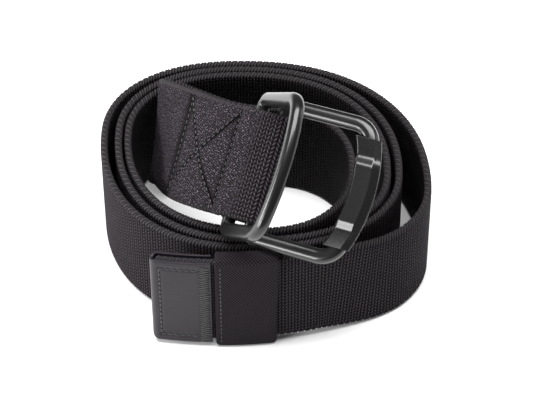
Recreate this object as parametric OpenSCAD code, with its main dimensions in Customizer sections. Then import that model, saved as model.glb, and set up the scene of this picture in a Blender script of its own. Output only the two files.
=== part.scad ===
// Webbing belt wound into a coil that stands on its edge, with a double-ring buckle.
// The free end has a folded cover and passes through a sliding keeper loop.
// Millimetres, +Z up, the coil stands on z = 0.

/* [Webbing] */
// Width of the webbing
web_w = 40; // [38:0.5:40]
// Thickness of the webbing
web_t = 2.6; // [2.2:0.1:2.8]
// Narrowing at each edge where the webbing is drawn tight through the rings
web_neck = 0.9; // [0:0.1:1.2]

/* [Rings] */
// Distance between the centre lines of a ring's two side bars
ring_span = 45.6; // [45.2:0.2:48]
// Distance from the hinge bar's centre line to the middle of the bowed far bar's
ring_depth = 36; // [34:0.5:38]
// Radius of the far bar's bow
far_r = 52; // [46:1:80]
// Radius of a ring's two far corners, to the bar's centre line
corner_r = 7.5; // [5:0.5:9]
// Radius of a ring's two corners at the hinge bar, to the bar's centre line
elbow_r = 2.6; // [2.5:0.1:3]
// Diameter of the round hinge bars
bar_d = 4.6; // [4.2:0.1:5]
// Width of the side and far bars, seen from the front
bar_w = 4.8; // [4.4:0.1:5]
// Thickness of the side and far bars
bar_h = 4.4; // [4:0.1:4.8]
// Distance between the two hinge bars in the folded end
bar_gap = 8.5; // [8:0.5:12]
// Angle that the plain ring stands up from the folded end
plain_lift = 45; // [40:1:70]

/* [Blank plate] */
// Length of the plate across the ring
plate_l = 37.6; // [30:0.2:38.6]
// Reach of the plate inwards from the far bar's centre line
plate_in = 4.8; // [4:0.2:6]
// Reach of the plate outwards from the far bar's centre line
plate_out = 3.9; // [3.4:0.1:4.5]
// Height of the plate's face above the bar
plate_rise = 1.2; // [0.8:0.1:1.6]
// Drop of the plate's face from its flat middle to each end
plate_dip = 0.8; // [0.4:0.1:1]

/* [Tip and keeper] */
// Length of the strap inside the folded tip cover
tip_l = 19.5; // [18:0.5:20]
// Thickness of the tip cover's material
tip_t = 1.1; // [0.8:0.1:1.4]
// Width of the keeper along the strap
keeper_l = 21.5; // [16:0.5:24]
// Thickness of the keeper's material
keeper_t = 1.3; // [1.1:0.1:1.5]
// Gap between the keeper and the strap inside it
keeper_gap = 0.3; // [0.25:0.05:0.4]

/* [Stitching] */
// Thickness of the sewing thread
thread_d = 0.6; // [0.4:0.1:0.8]
// Length of one stitch with the gap after it
stitch_l = 3; // [2.5:0.5:4]

/* [Hidden] */
$fn = 48;

// Moves the whole belt so that its box is centred over the origin
centre_shift = [0.1, 0.2, 0];

// Furthest points of the winding's outer face: front, right, back and left of each turn
turns = [[-15, -45.8], [57.3, -7], [-9, 54.8], [-57.5, 17],
    [-5, -37.5], [47.6, 0], [-9, 51.8], [-52.5, 17],
    [-4, -34.2], [43.6, 0], [-9, 48.8], [-49.2, 17],
    [-2, -30], [31.5, 2], [0, 31.6]];
quarter_steps = 12;

// How much squarer than an ellipse the turns are: the exponent of their outline above 2
squareness = 0.25;

// The free end is lifted by what lies under it inside the keeper
tip_lift = keeper_gap + keeper_t;
level_x = 17;
ramp_l = 26;

// The free end lies on a circle that continues the curve at the front of the first turn
free_r = pow(turns[1][0] - turns[0][0] - web_t / 2, 2) / (turns[1][1] - turns[0][1] - web_t / 2);
free_c = [turns[0][0], turns[0][1] + web_t / 2 + free_r];
free_angle = 9.5;
free_steps = 4;
end_round = 1.6;

// The buckle's frame: x along the folded end, y across it, z out of its face
buckle_o = [-6.2, -16.6, 57.9];
buckle_heading = -28;
buckle_climb = 8;
buckle_roll = 38;
bend_steps = 8;
loop_r = bar_d / 2 + 0.3 + web_t / 2;
ply_half = web_t / 2 + 0.08;
part_start = 6.5;
tail_l = 41;

// Places in the wound strap where the inner end leaves the coil, bends and rises to the buckle:
// each row is a place on its middle line, its lean from upright and the way that it leans
lead = [[8, 30.3, 20, 0, 80], [-8, 30.3, 20, 0, 80], [-24, 32, 21.5, 14, 80],
    [-36.5, 30, 27.2, 22, 80], [-36, 23, 34.2, 32, 78]];

// ---- small vector helpers ----

function unit(v) = v / norm(v);
function turn_x(v, a) = [v[0], v[1] * cos(a) - v[2] * sin(a), v[1] * sin(a) + v[2] * cos(a)];
function turn_y(v, a) = [v[0] * cos(a) + v[2] * sin(a), v[1], -v[0] * sin(a) + v[2] * cos(a)];
function turn_z(v, a) = [v[0] * cos(a) - v[1] * sin(a), v[0] * sin(a) + v[1] * cos(a), v[2]];
function buckle_dir(v) = turn_z(turn_y(turn_x(v, buckle_roll), -buckle_climb), buckle_heading);
function buckle_at(v) = buckle_o + buckle_dir(v);
function lean_dir(a, way) = [sin(a) * cos(way), sin(a) * sin(way), cos(a)];

// ---- the strap's path: each station is [place, direction across the width] ----

// Smooth step from 0 to 1
function ease(t) = t <= 0 ? 0 : t >= 1 ? 1 : t * t * (3 - 2 * t);
// Lift of the first turn, which ramps down to nothing past the keeper's travel
function lift(x) = tip_lift * (1 - ease((x - level_x) / ramp_l));

function free_station(a) = let (x = free_c[0] + free_r * sin(a), y = free_c[1] - free_r * cos(a))
    [[x, y, web_w / 2 + lift(x)], [0, 0, 1]];

// Point of the middle line in the quarter turn i, a = 0 to 90. The front of the first turn stays
// a plain ellipse, so that the keeper can slide along it.
function quarter_point(i, a) = let (
    p = turns[i], q = turns[i + 1], along_x = i % 2 == 0,
    c = along_x ? [p[0], q[1]] : [q[0], p[1]],
    rx = abs((along_x ? q[0] : p[0]) - c[0]) - web_t / 2,
    ry = abs((along_x ? p[1] : q[1]) - c[1]) - web_t / 2,
    w = a + 90 * (i % 4) - 90, square = squareness * (i == 0 ? ease((a - 25) / 35) : 1))
    [c[0] + rx * sign(cos(w)) * pow(abs(cos(w)), 2 / (2 + square)),
        c[1] + ry * sign(sin(w)) * pow(abs(sin(w)), 2 / (2 + square))];

coil = [for (i = [0:len(turns) - 2], k = [0:quarter_steps - 1]) let (
    p = quarter_point(i, 90 * k / quarter_steps), z = web_w / 2 + (i == 0 ? lift(p[0]) : 0))
    [[p[0], p[1], z], [0, 0, 1]]];

// The lead's rows, then two on the line of the folded end so that it arrives straight
straight_l = 10;
lead_rows = concat([for (r = lead) [[r[0], r[1], r[2]], lean_dir(r[3], r[4])]],
    [for (d = [2 * straight_l, 0]) [buckle_at([-d, 0, 0]), buckle_dir([0, 1, 0])]]);
function blend2(a, b, c, t) = (1 - t) * (1 - t) * a + 2 * t * (1 - t) * b + t * t * c;
bend = [for (i = [1:len(lead_rows) - 2], k = [0:bend_steps - 1]) let (
    a = (lead_rows[i - 1] + lead_rows[i]) / 2, c = (lead_rows[i] + lead_rows[i + 1]) / 2)
    blend2(a, lead_rows[i], c, k / bend_steps)];

// Direction across the width made square to the path, and the face's outward direction
function path_dir(s, i) = unit(s[min(i + 1, len(s) - 1)][0] - s[max(i - 1, 0)][0]);
function across(s, i) = let (t = path_dir(s, i)) unit(s[i][1] - (s[i][1] * t) * t);
function outward(s, i) = cross(path_dir(s, i), across(s, i));

// Middle surface of the folded end: the bend, then straight to the hinge bars
n_bend = len(bend);
straight_step = 2;
function straight_x(i) = -straight_l + straight_step * (i - n_bend);
middle = concat(bend, [for (x = [-straight_l:straight_step:bar_gap])
    [buckle_at([x, 0, 0]), buckle_dir([0, 1, 0])]]);

// Half the distance between the two plies, which part close to the hinge bars
function ply_offset(i) = i < n_bend ? ply_half :
    ply_half + (loop_r - ply_half) * ease((part_start + straight_x(i)) / (part_start - 2));
// The upper ply starts on the coil's own line
function rise(i) = ply_offset(i) * ease(i / (bend_steps * 3));
upper = [for (i = [0:len(middle) - 1]) [middle[i][0] + rise(i) * outward(middle, i), across(middle, i)]];

// Distance back from the first hinge bar to each station of the middle surface
function back_length(i) = i >= n_bend ? -straight_x(i) :
    norm(middle[i + 1][0] - middle[i][0]) + back_length(i + 1);
back = [for (i = [0:len(middle) - 1]) back_length(i)];
tail_first = min([for (i = [0:n_bend - 1]) if (back[i] < tail_l) i]);
lower = [for (i = [len(middle) - 1:-1:tail_first])
    [middle[i][0] - ply_offset(i) * outward(middle, i), across(middle, i)]];
wrap = [for (a = [75:-15:-75])
    [buckle_at([bar_gap + loop_r * cos(a), 0, loop_r * sin(a)]), buckle_dir([0, 1, 0])]];

// The first station is narrower, which rounds off the free end's corners
round_angle = end_round / free_r * 180 / PI;
free = concat([free_station(-free_angle)], [for (k = [0:free_steps - 1])
    free_station(-free_angle + round_angle + (free_angle - round_angle) * k / free_steps)]);
path = concat(free, coil, upper, wrap, lower);
n_coil = len(free) + len(coil);
function half_width(i) = web_w / 2 - (i == 0 ? end_round : web_neck * ease((i - n_coil) / (2 * bend_steps)));

// Joins rows of points, each an outline of the same even length, into one solid. Both end rows are
// capped, each with a ladder of triangles from side to side.
module skin(rows) {
    n = len(rows);
    m = len(rows[0]);
    sides = [for (i = [0:n - 2], k = [0:m - 1]) let (
        a = m * i + k, b = m * i + (k + 1) % m, c = a + m, d = b + m)
        each [[a, d, c], [a, b, d]]];
    ladder = [for (k = [0:m / 2 - 2]) each [[k, k + 1, m - 1 - k], [k + 1, m - 2 - k, m - 1 - k]]];
    first = [for (t = ladder) [t[2], t[1], t[0]]];
    last = [for (t = ladder) [for (k = t) (n - 1) * m + k]];
    polyhedron([for (r = rows) each r], concat(sides, first, last));
}

// ---- the strap: one ribbon swept along the path ----

module strap() {
    rows = [for (i = [0:len(path) - 1]) let (
        u = across(path, i) * half_width(i), v = outward(path, i) * web_t / 2, p = path[i][0])
        [p - u - v, p - u + v, p + u + v, p + u - v]];
    color("#2b2a2a") translate(centre_shift) skin(rows);
}

// ---- rings ----

module in_buckle() {
    translate(centre_shift + buckle_o) rotate([0, 0, buckle_heading]) rotate([0, -buckle_climb, 0])
        rotate([buckle_roll, 0, 0]) children();
}

// Rectangle from [x1, y1] to [x2, y2] with rounded corners
module round_rect(x1, y1, x2, y2, r) {
    for (x = [x1 + r, x2 - r], y = [y1 + r, y2 - r]) translate([x, y]) circle(r);
    translate([x1 + r, y1]) square([x2 - x1 - 2 * r, y2 - y1]);
    translate([x1, y1 + r]) square([x2 - x1, y2 - y1 - 2 * r]);
}

// Centres of the bowed far bar and of one corner, and the direction in which the two arcs meet
side_y = ring_span / 2;
hinge_y = side_y - elbow_r;
far_c = [ring_depth - far_r, 0];
corner_c = [far_c[0] + sqrt(pow(far_r - corner_r, 2) - pow(side_y - corner_r, 2)), side_y - corner_r];
far_half = atan2(corner_c[1], corner_c[0] - far_c[0]);

// Arc of a ring's centre line: each row is a place, the outward direction and how flat the bar is,
// from 0 for the round hinge bar to 1 for the side and far bars
function ring_arc(at, r, from, to, steps, flat_from = 1) = [for (k = [0:steps]) let (
    w = from + (to - from) * k / steps)
    [at + r * [cos(w), sin(w)], w, ease(flat_from + (1 - flat_from) * k / steps)]];

// Half of a ring's centre line, from just inside the end of its hinge bar to the middle of its far bar
ring_half = concat([[[0, hinge_y - 0.5], 180, 0]], ring_arc([elbow_r, hinge_y], elbow_r, 180, 90, 8, 0),
    ring_arc(corner_c, corner_r, 90, far_half, 10),
    [for (k = [1:10]) ring_arc(far_c, far_r, far_half, 0, 10)[k]]);
ring_line = concat(ring_half, [for (k = [len(ring_half) - 2:-1:0])
    [[ring_half[k][0][0], -ring_half[k][0][1]], -ring_half[k][1], ring_half[k][2]]]);

// Point of the bar's outline: a circle, a little thinner than the hinge bar that it starts from,
// which grows into a rounded rectangle on the other bars
bar_round = 1.6;
function bar_point(q, k, flat) = let (
    round_w = 90 * q + 11.25 + 22.5 * k, flat_w = 90 * (q + k / 3),
    sx = q == 0 || q == 3 ? 1 : -1, sy = q < 2 ? 1 : -1,
    centre = [sx * (bar_w / 2 - bar_round), sy * (bar_h / 2 - bar_round)])
    (1 - flat) * (bar_d / 2 - 0.05) * [cos(round_w), sin(round_w)] +
    flat * (centre + bar_round * [cos(flat_w), sin(flat_w)]);

// One ring: round hinge bar at x = 0, two straight side bars and a bowed far bar
module ring_body() {
    skin([for (s = ring_line) [for (q = [3:-1:0], k = [3:-1:0]) let (b = bar_point(q, k, s[2]))
        [s[0][0] + b[0] * cos(s[1]), s[0][1] + b[0] * sin(s[1]), b[1]]]]);
    rotate([90, 0, 0]) cylinder(d = bar_d, h = 2 * hinge_y, center = true);
}

module plain_ring() {
    color("#1b1b1d") in_buckle() rotate([0, -plain_lift, 0]) ring_body();
}

module plate_ring() {
    color("#1b1b1d") in_buckle() translate([bar_gap, 0, 0]) ring_body();
}

// Height of the plate's face, which dips to a shallow scoop at each end
plate_flat = plate_l / 4;
plate_slope = 4;
function plate_top(y) = bar_h / 2 + plate_rise - plate_dip * ease((abs(y) - plate_flat) / plate_slope);

// A bevelled saddle over the far bar, blank on its face, with its ends cut square to the ring
module name_plate() {
    inner = bar_w / 2 + 0.3;
    outer = bar_w / 2 + 0.05;
    bevel = 2.2;
    steps = 36;
    rows = [for (k = [0:steps]) let (y = plate_l * (k / steps - 0.5), top = plate_top(y), low = -bar_h / 2)
        [for (p = [[-plate_in, low], [-inner, low], [-inner, bar_h / 2], [outer, bar_h / 2], [outer, low],
            [plate_out, low], [plate_out, bar_h / 2 - 0.6], [plate_out - bevel, top],
            [0.8 - plate_in, top], [-plate_in, top - 0.8]])
            [far_c[0] + sqrt(pow(far_r + p[0], 2) - y * y), y, p[1]]]];
    color("#202022") in_buckle() translate([bar_gap, 0, 0]) skin(rows);
}

// ---- pieces on the free end, all turned about the free end's centre ----

function to_angle(l) = l / free_r * 180 / PI;
tip_end = -free_angle + to_angle(tip_l);
keeper_from = tip_l + 1.1;
keeper_start = -free_angle + to_angle(keeper_from);
keeper_end = keeper_start + to_angle(keeper_l);
cover_slack = 0.05;
cover_half = web_t / 2 + cover_slack + tip_t;
keeper_half = web_t / 2 + keeper_gap + keeper_t;

// Sweeps a shape, x outwards from the strap's middle line and y up, along the free end
module along_free(from, to) {
    translate(centre_shift + [free_c[0], free_c[1], 0]) rotate([0, 0, from - 90])
        rotate_extrude(angle = to - from, $fn = 360) translate([free_r, 0]) children();
}

// Leather folded round the strap's end, open along its top and bottom edges
module tip_cover() {
    left = free_c[0] - (free_r + cover_half) * sin(free_angle) - tip_t;
    inner = web_t / 2 + cover_slack;
    color("#3a383b") intersection() {
        difference() {
            along_free(-free_angle - to_angle(tip_t), tip_end)
                round_rect(-cover_half, tip_lift, cover_half, tip_lift + web_w, 0.4);
            along_free(-free_angle - to_angle(cover_slack), tip_end + 1)
                translate([-inner, 0]) square([2 * inner, web_w + 2 * tip_lift]);
        }
        translate(centre_shift) rotate([90, 0, 0]) linear_extrude(2 * web_w)
            round_rect(left, tip_lift, left + 2 * tip_l, tip_lift + web_w, 2.4);
    }
}

// Closed loop of fabric round the strap, free to slide along it
module keeper() {
    inner = web_t / 2 + keeper_gap;
    top = tip_lift + web_w + keeper_gap;
    color("#252527") along_free(keeper_start, keeper_end) difference() {
        round_rect(-keeper_half, 0, keeper_half, top + keeper_t, 1.4);
        translate([-inner, keeper_t]) square([2 * inner, top - keeper_t]);
    }
}

// ---- stitching: rows of short lengths of thread laid on the surface ----

thread_up = thread_d / 2 + 0.06;
thread_part = 0.7;

module stitch(a, b) {
    d = b - a;
    l = norm(d);
    translate(centre_shift + a) rotate([0, acos(d[2] / l), atan2(d[1], d[0])]) cylinder(d = thread_d, h = l);
}

// Place on either face of the sewn stretch, d back from the first hinge bar and v across
function face_at(d, v, side) = let (
    i = max([for (k = [0:len(back) - 2]) if (back[k] >= d) k]),
    f = (back[i] - d) / (back[i] - back[i + 1]),
    p = (1 - f) * middle[i][0] + f * middle[i + 1][0],
    u = unit((1 - f) * across(middle, i) + f * across(middle, i + 1)),
    n = unit((1 - f) * outward(middle, i) + f * outward(middle, i + 1)))
    p + v * u + side * (ply_half + web_t / 2 + thread_up) * n;

// Two rows across the strap and the diagonals between them, sewn through both plies
box_near = 6.5;
box_far = 31.5;
box_v = 17.3;
box_lines = [[[box_near, -box_v], [box_near, box_v]], [[box_far, box_v], [box_far, -box_v]],
    [[box_near, -box_v], [box_far, box_v]], [[box_near, box_v], [box_far, -box_v]]];

module box_thread() {
    color("#151515") for (side = [-1, 1], l = box_lines) {
        n = round(norm(l[1] - l[0]) / stitch_l);
        for (k = [0:n - 1]) {
            a = l[0] + (l[1] - l[0]) * k / n;
            b = l[0] + (l[1] - l[0]) * (k + thread_part) / n;
            stitch(face_at(a[0], a[1], side), face_at(b[0], b[1], side));
        }
    }
}

// Place on a face of the tip cover or keeper: l from the strap's end, z above its lower edge
function free_at(l, z, off) = let (a = -free_angle + to_angle(l), r = free_r + off)
    [free_c[0] + r * sin(a), free_c[1] - r * cos(a), tip_lift + z];

module free_row(p, q, off) {
    n = round(norm(q - p) / stitch_l);
    for (k = [0:n - 1]) {
        a = p + (q - p) * k / n;
        b = p + (q - p) * (k + thread_part) / n;
        stitch(free_at(a[0], a[1], off), free_at(b[0], b[1], off));
    }
}

cover_faces = [cover_half + thread_up, -cover_half - thread_up];
seam_in = 3.5;
tack_w = 3.6;
tack_from = tip_l - tack_w - 0.4;
tack_pitch = 1.1;

// Row of stitches along the three closed sides of the tip cover, through both leaves
module tip_thread() {
    start = seam_in - tip_t;
    color("#151515") for (off = cover_faces) {
        free_row([start, web_w - seam_in], [start, seam_in], off);
        for (z = [seam_in, web_w - seam_in]) free_row([start, z], [tack_from - 0.4, z], off);
    }
}

// Dense zigzag that holds the cover's open end down
module bartack_thread() {
    n = floor((web_w - seam_in) / tack_pitch);
    color("#151515") for (off = cover_faces, k = [0:n - 1]) {
        z = seam_in / 2 + k * tack_pitch;
        stitch(free_at(tack_from, z, off), free_at(tack_from + tack_w, z + tack_pitch / 2, off));
    }
}

// Seam beside one edge of the keeper
module keeper_thread() {
    l = keeper_from + 1.2;
    color("#151515") free_row([l, 1], [l, web_w - 1], keeper_half + thread_up);
}

strap();
plain_ring();
plate_ring();
name_plate();
tip_cover();
keeper();
box_thread();
tip_thread();
bartack_thread();
keeper_thread();
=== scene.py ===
import math
import random

import bpy
import numpy as np
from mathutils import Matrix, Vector


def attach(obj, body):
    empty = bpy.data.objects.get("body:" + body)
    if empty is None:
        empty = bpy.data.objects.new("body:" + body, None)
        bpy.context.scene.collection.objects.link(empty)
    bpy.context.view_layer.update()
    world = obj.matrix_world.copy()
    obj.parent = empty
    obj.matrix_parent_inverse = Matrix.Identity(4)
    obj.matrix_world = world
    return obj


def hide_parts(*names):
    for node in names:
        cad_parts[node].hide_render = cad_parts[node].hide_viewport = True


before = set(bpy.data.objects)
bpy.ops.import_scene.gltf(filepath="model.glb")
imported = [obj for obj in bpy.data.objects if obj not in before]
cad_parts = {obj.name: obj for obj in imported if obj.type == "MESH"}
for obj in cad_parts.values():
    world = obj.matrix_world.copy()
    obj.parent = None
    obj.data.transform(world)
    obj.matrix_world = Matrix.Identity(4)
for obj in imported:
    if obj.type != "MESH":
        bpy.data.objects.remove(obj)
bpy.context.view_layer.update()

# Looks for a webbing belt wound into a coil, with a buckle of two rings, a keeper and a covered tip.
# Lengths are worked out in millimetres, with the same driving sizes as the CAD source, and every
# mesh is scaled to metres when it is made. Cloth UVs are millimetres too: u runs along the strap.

MM = 0.001
random.seed(7)

# ---- driving sizes, as in the CAD source ----

SHIFT = np.array([0.1, 0.2, 0.0])
WEB_W, WEB_T, WEB_NECK = 40.0, 2.6, 0.9
RING_SPAN, RING_DEPTH, FAR_R, CORNER_R, ELBOW_R = 45.6, 36.0, 52.0, 7.5, 2.6
BAR_D, BAR_W, BAR_H, BAR_GAP, PLAIN_LIFT = 4.6, 4.8, 4.4, 8.5, 45.0
PLATE_L, PLATE_IN, PLATE_OUT, PLATE_RISE = 37.6, 4.8, 3.9, 1.2
TIP_L, TIP_T = 19.5, 1.1
KEEPER_L, KEEPER_T, KEEPER_GAP = 21.5, 1.3, 0.3

# Furthest points of the winding's outer face: front, right, back and left of each turn
TURNS = [(-15, -45.8), (57.3, -7), (-9, 54.8), (-57.5, 17),
         (-5, -37.5), (47.6, 0), (-9, 51.8), (-52.5, 17),
         (-4, -34.2), (43.6, 0), (-9, 48.8), (-49.2, 17),
         (-2, -30), (31.5, 2), (0, 31.6)]
QUARTER_STEPS = 12
SQUARENESS = 0.25    # exponent of the turns' outline above an ellipse's 2
ROUND_UNTIL, SQUARE_FROM = 25, 60    # degrees of the first quarter turn, where the keeper slides
TIP_LIFT = KEEPER_GAP + KEEPER_T
LEVEL_X, RAMP_L = 17.0, 26.0
FREE_ANGLE, FREE_STEPS, END_ROUND = 9.5, 4, 1.6
FRONT, RIGHT = TURNS[:2]
FREE_R = (RIGHT[0] - FRONT[0] - WEB_T / 2) ** 2 / (RIGHT[1] - FRONT[1] - WEB_T / 2)
FREE_C = (FRONT[0], FRONT[1] + WEB_T / 2 + FREE_R)

BUCKLE_O = np.array([-6.2, -16.6, 57.9])
HEADING, CLIMB, ROLL = -28.0, 8.0, 38.0
BEND_STEPS = 8
LOOP_R = BAR_D / 2 + 0.3 + WEB_T / 2
PLY_HALF = WEB_T / 2 + 0.08
PART_START, TAIL_L = 6.5, 41.0
STRAIGHT_L, STRAIGHT_STEP = 10, 2
# Where the inner end leaves the coil and rises: place, lean from upright, and the way that it leans
LEAD = [(8, 30.3, 20, 0, 80), (-8, 30.3, 20, 0, 80), (-24, 32, 21.5, 14, 80),
        (-36.5, 30, 27.2, 22, 80), (-36, 23, 34.2, 32, 78)]


# ---- small helpers ----

def ease(t):
    """Smooth step from 0 to 1."""
    t = np.clip(t, 0, 1)
    return t * t * (3 - 2 * t)


def dip(x, width):
    """Gaussian groove."""
    return np.exp(-(x / width) ** 2)


def unit(v):
    """Vectors of length 1."""
    return v / np.linalg.norm(v, axis=-1, keepdims=True)


def turned(axis, degrees):
    """Rotation matrix about one of the three axes."""
    c, s = math.cos(math.radians(degrees)), math.sin(math.radians(degrees))
    i, j = [(1, 2), (2, 0), (0, 1)][axis]
    m = np.eye(3)
    m[i, i], m[j, j], m[i, j], m[j, i] = c, c, -s, s
    return m


BUCKLE = turned(2, HEADING) @ turned(1, -CLIMB) @ turned(0, ROLL)


def in_buckle(points):
    """Points in the buckle's frame: x along the folded end, y across it, z out of its face."""
    return BUCKLE_O + np.asarray(points, float) @ BUCKLE.T


def make_mesh(name, points, faces, uv=None, slots=None):
    """Mesh object from points in millimetres, with a UV for each corner and a slot for each face."""
    mesh = bpy.data.meshes.new(name)
    mesh.from_pydata(((np.asarray(points) + SHIFT) * MM).tolist(), [], [list(f) for f in faces])
    if uv is not None:
        layer = mesh.uv_layers.new(name="cloth")
        layer.data.foreach_set("uv", np.asarray(uv, np.float32).ravel())
    if slots is not None:
        mesh.polygons.foreach_set("material_index", np.asarray(slots, np.int32))
    mesh.shade_smooth()
    mesh.update()
    made = bpy.data.objects.new(name, mesh)
    bpy.context.scene.collection.objects.link(made)
    return made


def skin(rows, loop=False):
    """Faces that join rows of points round a closed outline; the ends are capped unless they join."""
    n, m = rows.shape[:2]
    i, k = np.meshgrid(np.arange(n if loop else n - 1), np.arange(m), indexing="ij")
    i, k = i.ravel(), k.ravel()
    after, beside = (i + 1) % n, (k + 1) % m
    quads = np.stack([i * m + k, i * m + beside, after * m + beside, after * m + k], 1).tolist()
    caps = [] if loop else [list(range(m))[::-1], [(n - 1) * m + q for q in range(m)]]
    return quads + caps


def soften(made, degrees, width):
    """Rounds off every edge that turns by more than an angle."""
    made.data.set_sharp_from_angle(angle=math.radians(degrees))
    edges = made.modifiers.new("edges", "BEVEL")
    edges.width = width * MM
    edges.segments = 3
    edges.angle_limit = math.radians(degrees)
    edges.harden_normals = True


# ---- the strap's path ----

def free_station(a):
    """Place and upright direction of the free end, a degrees round its arc from the front."""
    x = FREE_C[0] + FREE_R * math.sin(math.radians(a))
    y = FREE_C[1] - FREE_R * math.cos(math.radians(a))
    return (x, y, WEB_W / 2 + TIP_LIFT * (1 - ease((x - LEVEL_X) / RAMP_L))), (0, 0, 1)


def coil_stations():
    """Slightly squared quarter ellipses between the furthest points of each turn."""
    made = []
    for i in range(len(TURNS) - 1):
        p, q = TURNS[i], TURNS[i + 1]
        along_x = i % 2 == 0
        c = (p[0], q[1]) if along_x else (q[0], p[1])
        rx = abs((q if along_x else p)[0] - c[0]) - WEB_T / 2
        ry = abs((p if along_x else q)[1] - c[1]) - WEB_T / 2
        for k in range(QUARTER_STEPS):
            turn = 90 * k / QUARTER_STEPS
            square = ease((turn - ROUND_UNTIL) / (SQUARE_FROM - ROUND_UNTIL)) if i == 0 else 1
            power = 2 / (2 + SQUARENESS * square)
            w = math.radians(turn + 90 * (i % 4) - 90)
            across, up = math.cos(w), math.sin(w)
            x = c[0] + rx * math.copysign(abs(across) ** power, across)
            y = c[1] + ry * math.copysign(abs(up) ** power, up)
            lift = TIP_LIFT * (1 - ease((x - LEVEL_X) / RAMP_L)) if i == 0 else 0
            made.append(((x, y, WEB_W / 2 + lift), (0, 0, 1)))
    return made


def middle_stations():
    """Middle surface of the folded end: a bend that rises from the coil, then straight to the bars."""
    rows = []
    for x, y, z, lean, way in LEAD:
        lean, way = math.radians(lean), math.radians(way)
        flat = math.sin(lean)
        rows.append([(x, y, z), (flat * math.cos(way), flat * math.sin(way), math.cos(lean))])
    for d in (2 * STRAIGHT_L, 0):
        rows.append([in_buckle((-d, 0, 0)), BUCKLE[:, 1]])
    rows = np.array(rows)
    made = []
    for i in range(1, len(rows) - 1):
        a, c = (rows[i - 1] + rows[i]) / 2, (rows[i] + rows[i + 1]) / 2
        for t in np.arange(BEND_STEPS) / BEND_STEPS:
            made.append((1 - t) ** 2 * a + 2 * t * (1 - t) * rows[i] + t * t * c)
    n_bend = len(made)
    for x in np.arange(-STRAIGHT_L, BAR_GAP + 0.01, STRAIGHT_STEP):
        made.append(np.array([in_buckle((x, 0, 0)), BUCKLE[:, 1]]))
    return np.array(made), n_bend


def squared(stations):
    """Path directions, directions across made square to them, and outward directions."""
    p, u = stations[:, 0], stations[:, 1]
    along = unit(np.vstack([p[1] - p[0], p[2:] - p[:-2], p[-1] - p[-2]]))
    across = unit(u - (u * along).sum(1)[:, None] * along)
    return along, across, np.cross(along, across)


def build_path():
    """Stations from the free end to the end of the fold, half widths, and a few marks along them."""
    turn = math.degrees(END_ROUND / FREE_R)
    free = [free_station(-FREE_ANGLE)] + [
        free_station(-FREE_ANGLE + turn + (FREE_ANGLE - turn) * k / FREE_STEPS) for k in range(FREE_STEPS)]
    coil = np.array(free + coil_stations())
    middle, n_bend = middle_stations()
    _, across, outward = squared(middle)
    at_x = -STRAIGHT_L + STRAIGHT_STEP * (np.arange(len(middle)) - n_bend)
    parting = ease((PART_START + at_x) / (PART_START - 2))
    off = np.where(at_x < -STRAIGHT_L, PLY_HALF, PLY_HALF + (LOOP_R - PLY_HALF) * parting)
    rise = off * ease(np.arange(len(middle)) / (BEND_STEPS * 3))
    upper = np.stack([middle[:, 0] + rise[:, None] * outward, across], 1)
    back = np.zeros(len(middle))
    for i in range(len(middle) - 1, -1, -1):
        back[i] = -at_x[i] if i >= n_bend else np.linalg.norm(middle[i + 1, 0] - middle[i, 0]) + back[i + 1]
    first = int(np.argmax(back < TAIL_L))
    lower = np.stack([middle[:, 0] - off[:, None] * outward, across], 1)[first:][::-1]
    around = np.radians(np.arange(75, -76, -15))
    wrap = np.array([[in_buckle((BAR_GAP + LOOP_R * math.cos(a), 0, LOOP_R * math.sin(a))), BUCKLE[:, 1]]
                     for a in around])
    path = np.concatenate([coil, upper, wrap, lower])
    n_coil = len(coil)
    i = np.arange(len(path))
    half = WEB_W / 2 - WEB_NECK * ease((i - n_coil) / (2 * BEND_STEPS))
    half[0] = WEB_W / 2 - END_ROUND
    bar = n_bend + STRAIGHT_L // STRAIGHT_STEP
    marks = {"coil": n_coil, "upper_bar": n_coil + bar, "lower_bar": len(path) - 1 - (bar - first)}
    return path, half, marks


def smooth_curve(at, values, t):
    """Cubic through the values at uneven distances, read at the distances t."""
    h = np.diff(at)
    d = np.diff(values, axis=0) / h[:, None]
    inner = (d[:-1] * h[1:, None] + d[1:] * h[:-1, None]) / (h[:-1] + h[1:])[:, None]
    m = np.vstack([d[:1], inner, d[-1:]])
    i = np.clip(np.searchsorted(at, t, "right") - 1, 0, len(at) - 2)
    w, k = ((t - at[i]) / h[i])[:, None], h[i][:, None]
    return ((1 + 2 * w) * (1 - w) ** 2 * values[i] + w * (1 - w) ** 2 * k * m[i]
            + w * w * (3 - 2 * w) * values[i + 1] + w * w * (w - 1) * k * m[i + 1])


PATH, HALF, MARKS = build_path()
CHORDS = np.concatenate([[0], np.cumsum(np.linalg.norm(np.diff(PATH[:, 0], axis=0), axis=1))])
LENGTH = CHORDS[-1]
COIL_END, UPPER_BAR, LOWER_BAR = (CHORDS[MARKS[k]] for k in ("coil", "upper_bar", "lower_bar"))
WRAP_MID, WRAP_HALF = (UPPER_BAR + LOWER_BAR) / 2, (LOWER_BAR - UPPER_BAR) / 2


def stations_at(s):
    """Place, across and outward directions and half width at distances s from the free end."""
    place = smooth_curve(CHORDS, PATH[:, 0], s)
    across = smooth_curve(CHORDS, PATH[:, 1], s)
    _, across, outward = squared(np.stack([place, across], 1))
    return place, across, outward, np.interp(s, CHORDS, HALF)


# ---- the strap ----

RIB = 1.12           # width of one rib, along the strap
RIB_STEPS = 3
RIB_DEPTH = 0.2
RIM_DEPTH = 0.55
RIM_ROUND = 1.15     # how far the rounded rim reaches in from the edge
SCALLOP = 0.45       # depth of the waves along the edge, one for each pair of ribs
RIM_SLANT = 0.55     # how far a rib runs along the strap on its way round the rim, for 1 mm of thickness
FOLD_FROM = COIL_END + 12
FOLD_FADE = 18       # over which the coil's ribs turn into the fold's flatter weave
FLAT_SHARE = 0.75    # of the ribs' depth that is gone there
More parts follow.
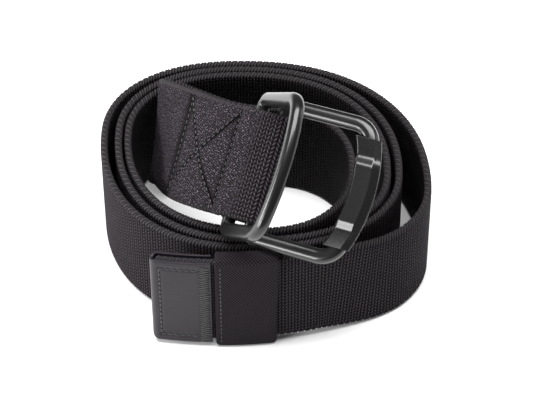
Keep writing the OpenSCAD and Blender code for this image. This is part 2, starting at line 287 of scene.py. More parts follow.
# Stitching on the fold, in millimetres back from the hinge bars and across: two rows, two diagonals
BOX_NEAR, BOX_FAR, BOX_V = 6.5, 31.5, 17.3
BOX_LINES = [((BOX_NEAR, -BOX_V), (BOX_NEAR, BOX_V)), ((BOX_FAR, BOX_V), (BOX_FAR, -BOX_V)),
             ((BOX_NEAR, -BOX_V), (BOX_FAR, BOX_V)), ((BOX_NEAR, BOX_V), (BOX_FAR, -BOX_V))]
ROW_HOLLOWS = {BOX_NEAR: (1.3, 0.22), BOX_FAR: (2.4, 0.55)}    # reach and depth of each row's hollow


def section(face_points=10, rim_points=5):
    """Outline of the strap: each point's share across, bulge past it, height, and 1 on the rims."""
    face = np.linspace(-1, 1, face_points)
    rim = np.radians(np.linspace(90, -90, rim_points + 2)[1:-1])
    rows = [(f, 0.0, 1.0, 0.0) for f in face]
    rows += [(1.0, math.cos(a), math.sin(a), 1.0) for a in rim]
    rows += [(f, 0.0, -1.0, 0.0) for f in face[::-1]]
    rows += [(-1.0, math.cos(a), -math.sin(a), 1.0) for a in rim]
    return np.array(rows)


def across_section(half, share, bulge):
    """Distances from the strap's middle line."""
    return share * (half - RIM_ROUND) + np.sign(share) * bulge * RIM_ROUND


def strap_mesh():
    s = np.arange(0, LENGTH, RIB / RIB_STEPS)
    place, across, outward, half = stations_at(s)
    share, bulge, height, rim = section().T
    v = across_section(half[:, None], share, bulge)
    tau = np.tile(height * WEB_T / 2, (len(s), 1))
    u = s[:, None] + RIM_SLANT * tau
    # The ribs are drawn out flat on the sewn stretch and show again near the hinge bars
    from_bar = np.abs(s - WRAP_MID) - WRAP_HALF
    flat = ease((s - FOLD_FROM) / FOLD_FADE) * ease((from_bar + 5) / 6)
    depth = (RIB_DEPTH + (RIM_DEPTH - RIB_DEPTH) * rim) * (1 - FLAT_SHARE * flat[:, None] * (1 - rim))
    sunk = depth * (0.5 + 0.5 * np.cos(2 * np.pi * u / RIB))
    wave = SCALLOP * (0.5 + 0.5 * np.cos(np.pi * u / RIB)) * (np.abs(share) > 0.99)
    v = v - np.sign(v) * (sunk * bulge + wave)
    tau = tau - np.sign(tau) * sunk * np.abs(height)
    hollow = sum(deep * dip(from_bar - row, reach) for row, (reach, deep) in ROW_HOLLOWS.items())
    tau = tau - hollow[:, None] * ((height > 0.99) & (np.abs(share) < 0.99))
    points = place[:, None] + v[..., None] * across[:, None] + tau[..., None] * outward[:, None]
    # Slots: 0 on the outer face, 1 on the inner, whose material is a darker copy of the webbing that paints
    # shade on it, 2 on the rims and ends
    after = np.roll(np.arange(len(height)), -1)
    inner = (height < -0.9) & (height[after] < -0.9)
    on_rim = (rim > 0) | (rim[after] > 0)
    slots = np.concatenate([np.tile(np.where(on_rim, 2, inner), len(s) - 1), [2, 2]])
    uv = strap_uv(u, across_section(WEB_W / 2, share, bulge), height * WEB_T / 2)
    return make_mesh("strap_webbing", points.reshape(-1, 3), skin(points), uv, slots)


def strap_uv(u, v, tau):
    """UVs: u along the strap, v round the outline from the lower edge of the outer face."""
    ring = np.stack([v, tau], 1)
    steps = np.linalg.norm(np.diff(np.vstack([ring, ring[:1]]), axis=0), axis=1)
    around = np.concatenate([[0], np.cumsum(steps)])
    n, m = u.shape
    i, k = np.repeat(np.arange(n - 1), m), np.tile(np.arange(m), n - 1)
    after = (k + 1) % m
    corners = [(i, k, k), (i, after, k + 1), (i + 1, after, k + 1), (i + 1, k, k)]
    sides = np.stack([np.stack([u[row, column], around[edge]], -1) for row, column, edge in corners], 1)
    ends = np.zeros((2 * m, 2))
    return np.concatenate([sides.reshape(-1, 2), ends])


# ---- stitches ----

BOX_PITCH, BOX_DRAWN, BOX_THREAD_R = 2.1, 0.66, 0.21
BOX_SUNK = 0.07      # how far the threads' middle lies below the webbing's face


def capsule(a, b, radius, sides=8, rings=7):
    """Points of one length of thread from a to b, thinner at both ends."""
    t = np.linspace(0, 1, rings)
    axis = unit(b - a)
    helper = np.array([0, 0, 1.0] if abs(axis[2]) < 0.9 else [1.0, 0, 0])
    side = unit(np.cross(axis, helper))
    other = np.cross(axis, side)
    width = radius * np.sqrt(np.clip(1 - (2 * t - 1) ** 6, 0.04, 1))
    w = np.linspace(0, 2 * np.pi, sides, endpoint=False)
    disc = np.cos(w)[:, None] * side + np.sin(w)[:, None] * other
    return (a + t[:, None] * (b - a))[:, None] + width[:, None, None] * disc


def thread_mesh(name, stitches, radius):
    """One object that holds many separate lengths of thread."""
    points, faces = [], []
    for a, b in stitches:
        rows = capsule(np.asarray(a, float), np.asarray(b, float), radius)
        base = sum(len(p) for p in points)
        faces += [[base + k for k in f] for f in skin(rows)]
        points.append(rows.reshape(-1, 3))
    return make_mesh(name, np.vstack(points), faces)


def dashes(p, q, pitch, drawn=0.72):
    """Pairs of ends along the line from p to q."""
    p, q = np.asarray(p, float), np.asarray(q, float)
    n = max(1, round(np.linalg.norm(q - p) / pitch))
    return [(p + (q - p) * k / n, p + (q - p) * (k + drawn) / n) for k in range(n)]


def fold_point(d, v, side, up):
    """Place on the outer face of either ply, d back from the first hinge bar and v across."""
    s = UPPER_BAR - d if side > 0 else LOWER_BAR + d
    grid = np.array([s - 1, s, s + 1])
    place, across, outward, _ = stations_at(grid)
    return place[1] + v * across[1] + (WEB_T / 2 + up) * outward[1]


def box_thread_mesh():
    """Rows and diagonals on both faces of the fold; the rows lie in their hollows."""
    made = []
    for side in (1, -1):
        for p, q in BOX_LINES:
            up = -BOX_SUNK - (ROW_HOLLOWS[p[0]][1] if p[0] == q[0] else 0)
            for a, b in dashes(p, q, BOX_PITCH, BOX_DRAWN):
                made.append((fold_point(a[0], a[1], side, up), fold_point(b[0], b[1], side, up)))
    return thread_mesh("box_stitches", made, BOX_THREAD_R)


# ---- rings and plate ----

SIDE_Y = RING_SPAN / 2
HINGE_Y = SIDE_Y - ELBOW_R
FAR_C = np.array([RING_DEPTH - FAR_R, 0.0])
CORNER_Y = SIDE_Y - CORNER_R
CORNER_C = np.array([FAR_C[0] + math.sqrt((FAR_R - CORNER_R) ** 2 - CORNER_Y ** 2), CORNER_Y])
FAR_HALF = math.degrees(math.atan2(CORNER_C[1], CORNER_C[0] - FAR_C[0]))
BAR_SQUARE = 2.35    # exponent of the side and far bars' section, where a circle has 2
BAR_FULL = 0.2       # the painted bars are this much wider on each side than the CAD's


def ring_arc(at, r, start, end, steps, flat_from=1.0):
    """Rows of x, y, outward direction in degrees, and how flat the bar is."""
    t = np.linspace(0, 1, steps + 1)
    w = start + (end - start) * t
    flat = ease(flat_from + (1 - flat_from) * t)
    return np.stack([at[0] + r * np.cos(np.radians(w)), at[1] + r * np.sin(np.radians(w)), w, flat], 1)


def bar_outline(flat, points=32):
    """A circle on the hinge bar that turns into a squared, crowned oval on the others."""
    w = 2 * np.pi * (np.arange(points) + 0.5) / points
    power = 2 / (2 + (BAR_SQUARE - 2) * flat)
    half_w = BAR_D / 2 + (BAR_W / 2 + BAR_FULL - BAR_D / 2) * flat
    half_h = BAR_D / 2 + (BAR_H / 2 - BAR_D / 2) * flat
    c, s = np.cos(w), np.sin(w)
    across, up = np.sign(c) * np.abs(c) ** power, np.sign(s) * np.abs(s) ** power
    return np.stack([half_w * across, half_h * up], 1)


def ring_points():
    """Sections round one ring, from one end of its hinge bar to the other."""
    half = np.vstack([ring_arc((ELBOW_R, HINGE_Y), ELBOW_R, 180, 90, 14, 0.0),
                      ring_arc(CORNER_C, CORNER_R, 90, FAR_HALF, 18),
                      ring_arc(FAR_C, FAR_R, FAR_HALF, 0, 24)[1:]])
    other = half[-2::-1] * [1, -1, -1, 1]
    line = np.vstack([half, other])
    rows = []
    for x, y, w, flat in line:
        b = bar_outline(flat)
        c, s = math.cos(math.radians(w)), math.sin(math.radians(w))
        rows.append(np.stack([x + b[:, 0] * c, y + b[:, 0] * s, b[:, 1]], 1))
    return np.array(rows)[:, ::-1]


def ring_mesh(name, lift, along):
    """A ring turned up by lift degrees, with its hinge bar at along on the fold."""
    rows = ring_points() @ turned(1, -lift).T + [along, 0, 0]
    return make_mesh(name, in_buckle(rows.reshape(-1, 3)), skin(rows, loop=True))


PLATE_FLAT = 9.2     # half length of the face's flat middle
SCOOP_DEPTH = 1.1
PLATE_BEVEL = 2.2
PLATE_ROWS = 121


def plate_top(y):
    """Height of the plate's face: flat in the middle, then a steep edge and a shallow scoop to each end."""
    t = (np.abs(y) - PLATE_FLAT) / (PLATE_L / 2 - PLATE_FLAT)
    scoop = ease(t / 0.4) - 0.6 * np.clip((t - 0.2) / 0.8, 0, 1) ** 2
    return BAR_H / 2 + PLATE_RISE - SCOOP_DEPTH * np.where(t > 0, scoop, 0)


def plate_mesh():
    """A saddle that fits over the far bar, with an outer wall that leans in towards its lower edge."""
    low, shoulder = -BAR_H / 2, BAR_H / 2 - 0.6
    inner, outer = BAR_W / 2 + 0.3, BAR_W / 2 + 0.05
    rows = []
    for y in np.linspace(-PLATE_L / 2, PLATE_L / 2, PLATE_ROWS):
        top = plate_top(y)
        outline = [(-PLATE_IN, low), (-inner, low), (-inner, BAR_H / 2), (outer, BAR_H / 2), (outer, low),
                   (PLATE_OUT - 1.1, low), (PLATE_OUT - 0.25, shoulder - 1.4), (PLATE_OUT, shoulder - 0.3),
                   (PLATE_OUT - PLATE_BEVEL, top), (0.8 - PLATE_IN, top), (-PLATE_IN, top - 0.8)]
        rows.append([(FAR_C[0] + math.sqrt((FAR_R + r) ** 2 - y * y) + BAR_GAP, y, z) for r, z in outline])
    rows = np.array(rows)
    made = make_mesh("blank_plate", in_buckle(rows.reshape(-1, 3)), skin(rows))
    soften(made, 25, 0.28)
    return made


# ---- tip cover and keeper ----

def free_points(l, z, off):
    """Places on the free end: l from the strap's end, z above its lower edge, off outwards."""
    a = np.radians(-FREE_ANGLE) + np.asarray(l) / FREE_R
    r = FREE_R + np.asarray(off)
    return np.stack(np.broadcast_arrays(FREE_C[0] + r * np.sin(a), FREE_C[1] - r * np.cos(a),
                                        TIP_LIFT + np.asarray(z)), -1)


COVER_HALF = WEB_T / 2 + 0.05 + TIP_T
SEAM_IN, TACK_W, TACK_PITCH = 3.5, 3.6, 1.1
SEAM_AT = SEAM_IN - TIP_T    # the seam beside the fold, from the strap's end
TACK_FROM = TIP_L - TACK_W - 0.4
TIP_CORNER = 2.4
COVER_ROWS, COVER_COLUMNS = 150, 92


def cover_mesh():
    """Leather folded round the strap's end: a sheet that runs along one face, round the end and back."""
    leaf = TIP_L - (COVER_HALF - TIP_T)
    arc = math.pi * (COVER_HALF - TIP_T / 2)
    p = np.linspace(0, 2 * leaf + arc, COVER_ROWS)
    outer, back = p < leaf, p > leaf + arc
    turn = np.clip((p - leaf) / arc, 0, 1) * math.pi
    centre_l = COVER_HALF - TIP_T
    l = np.where(outer, TIP_L - p, np.where(back, centre_l + (p - leaf - arc), centre_l))
    # The corners at the fold are rounded off, so the sheet is lower there
    inset = np.where(outer | back, l + TIP_T, TIP_T + centre_l - (COVER_HALF - TIP_T / 2) * np.sin(turn))
    short = np.clip(TIP_CORNER - inset, 0, None)
    cut = (TIP_CORNER - np.sqrt(np.clip(TIP_CORNER ** 2 - short ** 2, 0, None)))[:, None]
    z = cut + (WEB_W - 2 * cut) * np.linspace(0, WEB_W, COVER_COLUMNS)[None] / WEB_W
    l = np.broadcast_to(l[:, None], z.shape)
    sunk = cover_hollows(l, z) * (np.sin(turn) < 0.05)[:, None]
    sunk = sunk + 0.16 * dip(np.minimum(z - cut, WEB_W - cut - z), 0.5)
    layers = []
    for r in (COVER_HALF - sunk, COVER_HALF - TIP_T):
        layers.append(free_points(l - np.sin(turn)[:, None] * r, z, r * np.cos(turn)[:, None]))
    n, m = z.shape
    faces = two_sided(n, m)
    cloth = np.stack([np.broadcast_to(p[:, None], z.shape), z], -1).reshape(-1, 2)
    uv = cloth[np.array(faces) % (n * m)].reshape(-1, 2)
    points = np.concatenate([layer.reshape(-1, 3) for layer in layers])
    made = make_mesh("tip_cover_leather", points, faces, uv)
    soften(made, 50, 0.22)
    return made


def cover_hollows(l, z):
    """The leather is puffed between its seams and drawn in along them and under the tack."""
    between = (z > SEAM_IN - 0.5) & (z < WEB_W - SEAM_IN + 0.5)
    from_rows = np.minimum(np.abs(z - SEAM_IN), np.abs(z - (WEB_W - SEAM_IN)))
    groove = 0.30 * dip(np.abs(l - SEAM_AT), 0.6) * between
    groove = groove + 0.24 * dip(from_rows, 0.55) * (l > SEAM_AT - 0.5)
    return groove + 0.14 * ease((l - TACK_FROM + 0.6) / 0.6)


def two_sided(n, m):
    """Faces of a sheet of n rows of m points, its second side's points after its first's."""
    half = n * m
    faces = []
    for i in range(n - 1):
        for k in range(m - 1):
            a, b = i * m + k, (i + 1) * m + k
            faces.append([a, a + 1, b + 1, b])
            faces.append([half + a, half + b, half + b + 1, half + a + 1])
    edges = [(i * m + k, (i + 1) * m + k, k > 0) for i in range(n - 1) for k in (0, m - 1)]
    edges += [(i * m + k, i * m + k + 1, i == 0) for k in range(m - 1) for i in (0, n - 1)]
    for a, b, turn_over in edges:
        row = [a, b, half + b, half + a]
        faces.append(row[::-1] if turn_over else row)
    return faces


def on_free_end(lines, pitch, off):
    """Stitches along lines between places on the free end, each place a length and a height."""
    ends = [pair for p, q in lines for pair in dashes(p, q, pitch)]
    return [(free_points(a[0], a[1], off), free_points(b[0], b[1], off)) for a, b in ends]


def tip_stitches():
    lines = [((SEAM_AT, WEB_W - SEAM_IN), (SEAM_AT, SEAM_IN))]
    lines += [((SEAM_AT, z), (TACK_FROM - 0.4, z)) for z in (SEAM_IN, WEB_W - SEAM_IN)]
    made = []
    for face in (1, -1):
        made += on_free_end(lines, 2.2, face * (COVER_HALF - 0.16))
    return thread_mesh("tip_stitches", made, 0.26)


def bartack():
    """A dense zigzag over the cover's open end, a little uneven."""
    made = []
    rows = int((WEB_W - SEAM_IN) // TACK_PITCH)
    for face in (1, -1):
        off = face * (COVER_HALF - 0.02)
        for k in range(rows):
            z = SEAM_IN / 2 + k * TACK_PITCH
            wobble = random.uniform(-0.25, 0.25)
            there = free_points(TACK_FROM + TACK_W + wobble, z + TACK_PITCH / 2, off)
            made.append((free_points(TACK_FROM + wobble, z, off), there))
            made.append((there, free_points(TACK_FROM - wobble, z + TACK_PITCH, off)))
    return thread_mesh("bartack_stitches", made, 0.24)


KEEPER_FROM = TIP_L + 1.1
KEEPER_HALF = WEB_T / 2 + KEEPER_GAP + KEEPER_T
KEEPER_HIGH = TIP_LIFT + WEB_W + KEEPER_GAP + KEEPER_T
KEEPER_SEAM = 1.9    # from its left edge
HEM = 0.75           # how far a hem bulges past the cloth's edge


def rounded_loop(x, y, r, n):
    """Evenly spaced points round a rounded rectangle centred on 0, with the distance round it."""
    sides = []
    for q in range(4):
        sx, sy = (1 if q in (0, 3) else -1), (1 if q < 2 else -1)
        for a in np.linspace(0, 90, 9):
            w = math.radians(90 * q + a)
            sides.append((sx * (x - r) + r * math.cos(w), sy * (y - r) + r * math.sin(w)))
    sides = np.array(sides + sides[:1])
    at = np.concatenate([[0], np.cumsum(np.linalg.norm(np.diff(sides, axis=0), axis=1))])
    t = np.linspace(0, at[-1], n, endpoint=False)
    return np.stack([np.interp(t, at, sides[:, 0]), np.interp(t, at, sides[:, 1])], 1), t, at[-1]


def keeper_mesh():
    """Closed loop of twill: an outer and an inner skin joined by rounded hems."""
    n, columns = 260, 56
    outer, t, round_l = rounded_loop(KEEPER_HALF, KEEPER_HIGH / 2, 1.5, n)
    inner, _, _ = rounded_loop(KEEPER_HALF - KEEPER_T, KEEPER_HIGH / 2 - KEEPER_T, 0.3, n)
    # Across the loop: along the outer skin, round one hem, back along the inner skin, round the other
    l = np.linspace(0, KEEPER_L, columns)
    hem = np.radians(np.linspace(90, -90, 7)[1:-1])
    across = [(x, 1.0) for x in l] + [(KEEPER_L + HEM * math.cos(a), (1 + math.sin(a)) / 2) for a in hem]
    across += [(x, 0.0) for x in l[::8][::-1]]
    across += [(-HEM * math.cos(a), (1 - math.sin(a)) / 2) for a in hem]
    at_l, share = np.array(across).T
    # The hems stay inside the keeper's width
    at_l = KEEPER_FROM + HEM + at_l * (KEEPER_L - 2 * HEM) / KEEPER_L
    ring = inner[:, None] + (outer - inner)[:, None] * share[None, :, None]
    from_left, from_right = at_l - KEEPER_FROM, KEEPER_FROM + KEEPER_L - at_l
    # Hollows along the seam, beside it, and near the right edge, and both edges drawn in
    seam = 0.26 * dip(from_left - KEEPER_SEAM, 0.35) + 0.14 * dip(from_left - 3.1, 0.3)
    seam = seam + 0.08 * dip(from_right - 1.6, 0.5)
    seam = seam + 0.22 * dip(from_left, 0.9) + 0.22 * dip(from_right, 0.9)
    shrink = unit(outer)[:, None] * np.array([1.0, 0.0]) * (seam * share)[None, :, None]
    ring = ring - np.sign(ring) * np.abs(shrink)
    # The right edge runs in towards the bottom, and the lower corners are rounded
    z = ring[..., 1] + KEEPER_HIGH / 2
    taper = (1 - z / KEEPER_HIGH) * (at_l - KEEPER_FROM) / KEEPER_L
    corner = 1.1 * dip(z, 1.0) * (dip(from_right, 1.2) - dip(from_left, 1.2))
    points = free_points(at_l[None] - taper - corner, z - TIP_LIFT, ring[..., 0])
    rows = points.transpose(1, 0, 2)[:, ::-1]
    m = len(at_l)
    faces = skin(rows, loop=True)
    uv = []
    for i in range(m):
        for k in range(n):
            a, b = at_l[i], at_l[(i + 1) % m]
            c, d = t[n - 1 - k], t[(n - 2 - k) % n] if k < n - 1 else -round_l / n
            uv += [(a, c), (a, d), (b, d), (b, c)]
    return make_mesh("keeper_loop", rows.reshape(-1, 3), faces, uv)


def keeper_stitches():
    l = KEEPER_FROM + KEEPER_SEAM
    made = on_free_end([((l, 1), (l, WEB_W - 1))], 2.0, KEEPER_HALF - 0.14)
    return thread_mesh("keeper_stitches", made, 0.2)


# ---- materials ----

class Finish:
    """One material, with short names for its maths nodes. Values set here are on the shader itself."""

    def __init__(self, name, specular=0.5, sheen=0.0, coat=0.0, coat_roughness=0.03):
        self.material = bpy.data.materials.new(name)
        self.material.use_nodes = True
        self.tree = self.material.node_tree
        self.shader = self.tree.nodes["Principled BSDF"]
        for socket, value in (("Specular IOR Level", specular), ("Sheen Weight", sheen),
                              ("Coat Weight", coat), ("Coat Roughness", coat_roughness)):
            self.shader.inputs[socket].default_value = value

    def put(self, socket, value):
        """Links or sets a socket."""
        if isinstance(value, bpy.types.NodeSocket):
            self.tree.links.new(value, socket)
        else:
            socket.default_value = value

    def add(self, kind, inputs, out=0, **settings):
        """Adds a node and gives one of its outputs."""
        node = self.tree.nodes.new("ShaderNode" + kind)
        for key, value in settings.items():
            setattr(node, key, value)
        for key, value in inputs.items():
            self.put(node.inputs[key], value)
        return node.outputs[out]

    def math(self, operation, *values):
        return self.add("Math", dict(enumerate(values)), operation=operation)

    def times(self, a, b):
        return self.math("MULTIPLY", a, b)

    def plus(self, a, b):
        return self.math("ADD", a, b)

    def wave(self, turns):
        """0 to 1 and back for each whole turn, 1 at 0."""
        return self.math("MULTIPLY_ADD", self.math("COSINE", self.times(turns, 2 * math.pi)), 0.5, 0.5)

    def smooth(self, value, low, high):
        """0 below low, 1 above high."""
        return self.add("MapRange", {0: value, 1: low, 2: high}, interpolation_type="SMOOTHSTEP")

    def mix(self, factor, a, b):
        return self.add("Mix", {0: factor, 6: a, 7: b}, out=2, data_type="RGBA")

    def noise(self, vector, scale, detail=2.0, roughness=0.5):
        inputs = {"Vector": vector, "Scale": scale, "Detail": detail, "Roughness": roughness}
        return self.add("TexNoise", inputs)

    def cloth(self):
        """Cloth coordinates in millimetres: u, v and both."""
        both = self.add("UVMap", {}, uv_map="cloth")
        split = self.tree.nodes.new("ShaderNodeSeparateXYZ")
        self.put(split.inputs[0], both)
        return split.outputs[0], split.outputs[1], both

    def place(self):
        """Object coordinates in millimetres."""
        at = self.add("TexCoord", {}, out=3)
        return self.add("VectorMath", {0: at, 3: 1 / MM}, operation="SCALE")

    def scaled(self, u, v, across_u, across_v):
        return self.add("CombineXYZ", {0: self.times(u, across_u), 1: self.times(v, across_v)})

    def finish(self, colour, roughness, height, depth):
        """Sets the colour, roughness and bump, its depth in millimetres."""
        self.put(self.shader.inputs["Base Color"], colour)
        self.put(self.shader.inputs["Roughness"], roughness)
        bump = {"Strength": 1.0, "Distance": depth * MM, "Height": height}
        self.put(self.shader.inputs["Normal"], self.add("Bump", bump))
        return self.material


def grey(r, g=None, b=None):
    """A colour, neutral where only one value is given."""
    return (r, r if g is None else g, r if b is None else b, 1.0)


PICK = 1.56   # length of one chain stitch across the webbing


def chain(f, u, v):
    """Columns of slanted stitches that lean one way and then the other, as on knitted webbing."""
    column = f.times(u, 1 / RIB)
    whole = f.math("FLOOR", column)
    inside = f.math("SUBTRACT", f.math("SUBTRACT", column, whole), 0.5)
    way = f.math("MULTIPLY_ADD", f.math("MODULO", whole, 2.0), 2.0, -1.0)
    lean = f.times(f.times(inside, way), 0.95)
    pick = f.wave(f.plus(f.times(v, 1 / PICK), lean))
    across = f.math("COSINE", f.times(inside, math.pi))
    return f.times(across, f.math("MULTIPLY_ADD", f.math("POWER", pick, 0.8), 0.82, 0.18))


def twill(f, u, v, pitch_u, pitch_v):
    """Fine diagonal lines, broken up by the yarn that crosses them."""
    up = f.plus(f.times(u, 1 / pitch_u), f.times(v, 1 / pitch_v))
    cross = f.math("SUBTRACT", f.times(u, 1 / pitch_u), f.times(v, 1 / pitch_v))
    return f.times(f.wave(up), f.math("MULTIPLY_ADD", f.wave(cross), 0.45, 0.55))


def line_mask(f, d, v, p, q, width):
    """1 on the straight line from p to q in cloth millimetres, fading to 0 at width from it."""
    length = math.dist(p, q)
    ex, ey = (q[0] - p[0]) / length, (q[1] - p[1]) / length
    x, y = f.plus(d, -p[0]), f.plus(v, -p[1])
    along = f.plus(f.times(x, ex), f.times(y, ey))
    over = f.math("MAXIMUM", f.times(along, -1.0), f.plus(along, -length))
    off = f.math("ABSOLUTE", f.plus(f.times(x, ey), f.times(y, -ex)))
    away = f.math("MAXIMUM", f.math("MAXIMUM", over, 0.0), off)
    fade = {0: away, 1: 0.0, 2: width, 3: 1.0, 4: 0.0}
    return f.add("MapRange", fade, interpolation_type="SMOOTHSTEP")


# How far the painted shade along each of BOX_LINES reaches beside it, and how dark it is
SEAM_SHADE_WIDTHS = (2.0, 4.0, 1.15, 1.15)
SEAM_SHADE_SHARES = (1.0, 0.8, 0.95, 0.95)


def sewn_weave(f, u, v):
    """The fold's finer, flatter weave: its height, and masks of where it is, of the painted shade along its
    seams, and of its glints.
    """
    back = f.plus(f.math("ABSOLUTE", f.plus(u, -(WRAP_MID + RIM_SLANT * WEB_T / 2))), -WRAP_HALF)
    sewn = f.times(f.smooth(u, FOLD_FROM, FOLD_FROM + FOLD_FADE), f.smooth(back, -5.0, 1.5))
    speck = f.noise(f.scaled(u, v, 2.0, 2.0), 1.0, 1.5)
    fine = f.plus(f.times(twill(f, u, v, 1.5, 0.8), 0.55), f.times(speck, 0.55))
    face_v = f.plus(v, -(WEB_W / 2 - RIM_ROUND))
    seam = 0.0
    for (p, q), width, share in zip(BOX_LINES, SEAM_SHADE_WIDTHS, SEAM_SHADE_SHARES):
        seam = f.math("MAXIMUM", seam, f.times(line_mask(f, back, face_v, p, q, width), share))
    glint = f.times(f.smooth(f.noise(f.scaled(u, v, 2.1, 2.1), 1.0, 0.0), 0.60, 0.74), sewn)
    return f.math("POWER", fine, 1.4), sewn, seam, f.times(glint, f.math("SUBTRACT", 1.0, seam))


def webbing(name, low, high, with_fold):
    """Black knitted webbing. Only the outer face shows the sewn fold."""
    f = Finish(name, specular=0.05)
    u, v, both = f.cloth()
    yarn = f.noise(f.scaled(u, v, 2.2, 0.9), 1.0, 3.0)
    patches = f.noise(both, 0.09, 2.0)
    height = chain(f, u, v)
    if with_fold:
        fine, sewn, seam, glint = sewn_weave(f, u, v)
        height = f.plus(f.times(height, f.math("SUBTRACT", 1.0, sewn)), f.times(fine, sewn))
    # Painted shade: the colour follows the stitches' height and is near black in their valleys. It is
    # multiplied by the yarn's random tone, with broad random patches added.
    tone = f.times(f.math("POWER", height, 1.8), f.math("MULTIPLY_ADD", yarn, 1.3, 0.35))
    tone = f.math("MULTIPLY_ADD", patches, 0.10, f.plus(tone, -0.05))
    colour = f.mix(tone, low, high)
    rough = f.math("MULTIPLY_ADD", yarn, -0.25, 0.85)
    if with_fold:
        colour = f.mix(f.times(glint, 0.75), colour, grey(0.145, 0.122, 0.155))
        # Painted shade along the seams: near black in the hollows that the stitches pull in, wider than the
        # threads. The bump grooves them too.
        colour = f.mix(seam, colour, grey(0.0005))
        height = f.math("MULTIPLY_ADD", seam, -0.7, height)
        rough = f.math("MAXIMUM", rough, seam)
    return f.finish(colour, rough, height, 0.5)


def webbing_rim():
    """The selvedge: slanted rope-like ribs, with painted shade, near black, in the valleys between them."""
    f = Finish("webbing_rim", specular=0.14)
    u, v, both = f.cloth()
    yarn = f.noise(f.scaled(u, v, 1.2, 2.6), 1.0, 3.0)
    crest = f.math("SUBTRACT", 1.0, f.wave(f.times(u, 1 / RIB)))
    # Painted shade: the colour is near black away from the ribs' crests
    tone = f.times(f.math("POWER", crest, 1.3), f.math("MULTIPLY_ADD", yarn, 1.0, 0.4))
    colour = f.mix(tone, grey(0.0005), grey(0.042, 0.037, 0.041))
    return f.finish(colour, f.math("MULTIPLY_ADD", yarn, -0.2, 0.82), yarn, 0.12)


def keeper_twill():
    """Fine diagonal cloth with a little pale lint."""
    f = Finish("keeper_twill", specular=0.07)
    u, v, both = f.cloth()
    yarn = f.noise(f.scaled(u, v, 2.4, 2.4), 1.0, 3.0)
    height = twill(f, u, v, 1.1, 1.28)
    fuzz = f.noise(both, 6.0, 2.0)
    # Painted shade: the colour follows the twill's height and is near black in its grooves. It is
    # multiplied by the yarn's random tone.
    tone = f.times(height, f.math("MULTIPLY_ADD", yarn, 0.9, 0.35))
    colour = f.mix(tone, grey(0.0006, 0.0004, 0.0006), grey(0.040, 0.033, 0.040))
    lint = f.smooth(f.noise(f.scaled(u, v, 0.55, 0.4), 1.0, 0.0), 0.845, 0.87)
    colour = f.mix(lint, colour, grey(0.35, 0.34, 0.36))
    height = f.plus(height, f.times(fuzz, 0.6))
    return f.finish(colour, f.math("MULTIPLY_ADD", yarn, -0.2, 0.88), height, 0.16)


def leather():
    """Dark leather, brushed along the strap, with small pores."""
    f = Finish("tip_leather", specular=0.27)
    u, v, both = f.cloth()
    streak = f.noise(f.scaled(u, v, 0.12, 2.0), 1.0, 3.0)
    pores = f.add("TexVoronoi", {"Vector": both, "Scale": 1.9, "Randomness": 1.0}, feature="SMOOTH_F1")
    broad = f.noise(both, 0.13, 2.0)
    tone = f.plus(f.times(streak, 0.5), f.times(broad, 0.5))
    colour = f.mix(tone, grey(0.0038, 0.0022, 0.0045), grey(0.0120, 0.0080, 0.0138))
    rough = f.math("MULTIPLY_ADD", streak, 0.2, 0.34)
    height = f.plus(f.times(streak, 0.7), f.times(pores, 0.5))
    return f.finish(colour, rough, height, 0.07)


def painted_metal(name, low, high, rough, orange_peel):
    """Black paint under a glossy coat: faint orange peel, slight tone changes and a little rubbing."""
    f = Finish(name, specular=0.25, coat=0.45, coat_roughness=0.15)
    at = f.place()
    peel = f.noise(at, 1.3, 2.0)
    dust = f.noise(at, 7.0, 3.0, 0.6)
    broad = f.noise(at, 0.06, 2.0)
    colour = f.mix(f.plus(f.times(dust, 0.4), f.times(broad, 0.6)), low, high)
    roughness = f.math("MULTIPLY_ADD", dust, 0.10, rough)
    return f.finish(colour, roughness, peel, orange_peel)


def thread_finish(name, low, high):
    """Twisted thread."""
    f = Finish(name, specular=0.5, sheen=0.15)
    at = f.place()
    twist = f.noise(at, 4.5, 2.0)
    return f.finish(f.mix(twist, low, high), f.math("MULTIPLY_ADD", twist, -0.2, 0.6), twist, 0.05)


# ---- pieces on their bodies ----

def place_piece(piece, body, slot, node, *materials):
    """Gives a piece its materials, parents it to its body and hides the CAD solid that it stands for."""
    for m in materials:
        piece.data.materials.append(m)
    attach(piece, body)
    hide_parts(node)
    return piece


def build_camera():
    """Looks down at the belt from the front, as a product picture does."""
    elevation, distance = math.radians(46.5), 0.85
    target = Vector((0.0036, 0.0006, 0.020))
    back = Vector((0, -math.cos(elevation), math.sin(elevation)))
    camera = bpy.data.objects.new("camera", bpy.data.cameras.new("camera"))
    camera.location = target + back * distance
    camera.rotation_mode = "QUATERNION"
    camera.rotation_quaternion = (-back).to_track_quat("-Z", "Y")
    camera.data.lens = 158.6
    camera.data.sensor_width = 36
    camera.data.clip_start = 0.01
    bpy.context.scene.collection.objects.link(camera)
    bpy.context.scene.camera = camera


def softbox(name, place, aim, width, height, watts):
    """A rectangular lamp at a place in metres, turned towards another."""
    lamp = bpy.data.lights.new(name, "AREA")
    lamp.shape = "RECTANGLE"
    lamp.size, lamp.size_y = width, height
    lamp.energy = watts
    made = bpy.data.objects.new(name, lamp)
    made.location = place
    made.rotation_mode = "QUATERNION"
    made.rotation_quaternion = (Vector(aim) - Vector(place)).to_track_quat("-Z", "Y")
    bpy.context.scene.collection.objects.link(made)


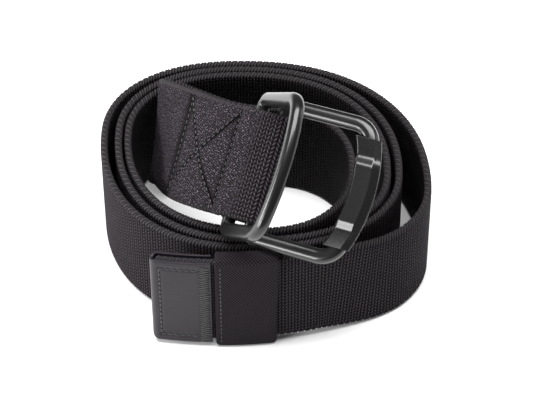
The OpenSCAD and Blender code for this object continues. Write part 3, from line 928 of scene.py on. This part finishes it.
def build_stage():
    """Pale floor, dim surroundings and four soft boxes."""
    size = 6.0
    corners = [(-size, -size, 0), (size, -size, 0), (size, size, 0), (-size, size, 0)]
    mesh = bpy.data.meshes.new("floor")
    mesh.from_pydata(corners, [], [(0, 1, 2, 3)])
    floor = bpy.data.objects.new("floor", mesh)
    bpy.context.scene.collection.objects.link(floor)
    f = Finish("floor_paper", specular=0.1)
    tone = f.noise(f.place(), 0.004, 2.0)
    colour = f.mix(tone, grey(0.90), grey(0.93))
    mesh.materials.append(f.finish(colour, 0.9, tone, 0.01))
    world = bpy.data.worlds.new("studio")
    world.use_nodes = True
    surroundings = world.node_tree.nodes["Background"].inputs
    surroundings["Color"].default_value = (1.0, 1.0, 1.0, 1.0)
    surroundings["Strength"].default_value = 0.16
    bpy.context.scene.world = world
    middle = (0, 0, 0.03)
    softbox("overhead", (0.0, 0.02, 1.0), middle, 1.15, 0.5, 24.0)
    softbox("left", (-0.85, -0.55, 0.28), middle, 0.42, 0.34, 8.5)
    softbox("far_left", (-1.0, 0.0, 0.22), middle, 0.5, 0.3, 8.0)
    softbox("right", (0.95, 0.25, 0.40), middle, 0.3, 0.6, 1.6)
    bpy.context.scene.view_settings.view_transform = "Standard"


build_camera()
build_stage()

black_thread = thread_finish("black_thread", grey(0.005), grey(0.022))
dark_thread = thread_finish("dark_thread", grey(0.004), grey(0.020))
ring_paint = painted_metal("ring_paint", grey(0.0025), grey(0.006), 0.26, 0.008)
plate_paint = painted_metal("plate_paint", grey(0.004), grey(0.008), 0.22, 0.005)
outer_face = webbing("webbing_outer", grey(0.0005, 0.0004, 0.0005), grey(0.066, 0.055, 0.065), True)
# The inner face's webbing is a darker copy of the outer's: painted shade, where the coil's inner faces get
# less light
shaded_inner_face = webbing("webbing_inner_shaded", grey(0.0002), grey(0.032, 0.027, 0.031), False)

strap = place_piece(strap_mesh(), "belt", "webbing", "strap", outer_face, shaded_inner_face, webbing_rim())
cover = place_piece(cover_mesh(), "belt", "tip_leather", "tip_cover", leather())
box_rows = place_piece(box_thread_mesh(), "belt", "thread", "box_thread", black_thread)
tip_rows = place_piece(tip_stitches(), "belt", "thread", "tip_thread", black_thread)
tack_rows = place_piece(bartack(), "belt", "thread", "bartack_thread", dark_thread)
place_piece(keeper_mesh(), "keeper_body", "keeper_fabric", "keeper", keeper_twill())
place_piece(keeper_stitches(), "keeper_body", "thread", "keeper_thread", dark_thread)
place_piece(ring_mesh("plain_ring_metal", PLAIN_LIFT, 0), "plain_ring_body", "ring_metal",
            "plain_ring", ring_paint)
place_piece(ring_mesh("plate_ring_metal", 0, BAR_GAP), "plate_ring_body", "ring_metal",
            "plate_ring", ring_paint)
place_piece(plate_mesh(), "plate_ring_body", "plate_metal", "name_plate", plate_paint)
